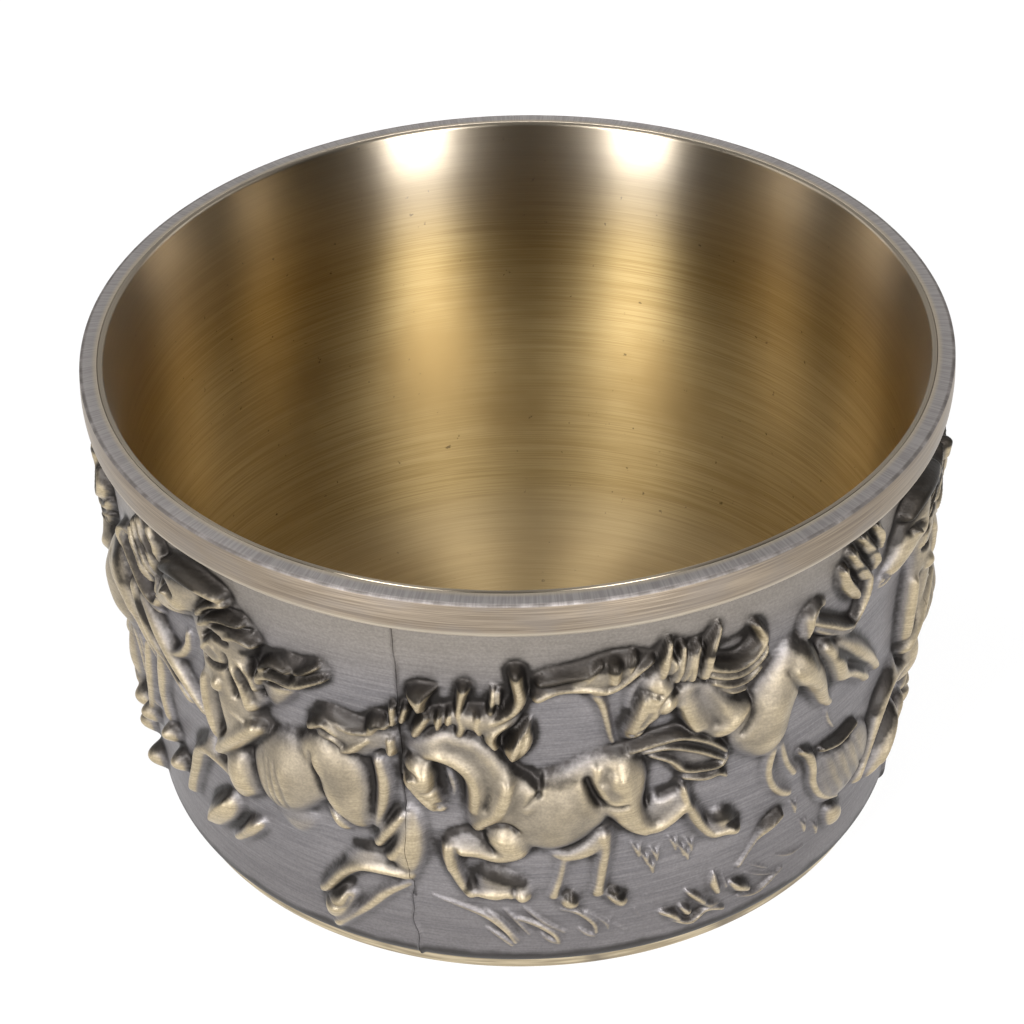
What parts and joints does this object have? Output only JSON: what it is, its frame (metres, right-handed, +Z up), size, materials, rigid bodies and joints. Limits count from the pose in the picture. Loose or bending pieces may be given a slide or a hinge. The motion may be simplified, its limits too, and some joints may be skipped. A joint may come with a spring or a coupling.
{
  "type": "bronze wine cup",
  "caption": "Small straight-sided bronze wine cup with a turned brass liner, a plain rim band and a relief of galloping horses round the wall.",
  "frame": {"origin": "middle of the underside, on the surface that the cup stands on", "axes": "+Z up along the cup's axis, -Y out of the middle of the front of the frieze, +X to the right of that view"},
  "size_m": [0.066, 0.066, 0.0382],
  "materials": {
    "brushed_brass": "brushed round the bowl",
    "turned_bronze": "turned and lightly polished",
    "foot_bronze": "turned, worn at the lip",
    "relief_bronze": "cast, dark patina in the hollows, burnished high points"
  },
  "bodies": {
    "root": {"liner": "brushed_brass", "rim_band": "turned_bronze", "base_plate": "foot_bronze", "front_panel": "relief_bronze", "right_panel": "relief_bronze", "back_panel": "relief_bronze", "left_panel": "relief_bronze"}
  },
  "joints": []
}
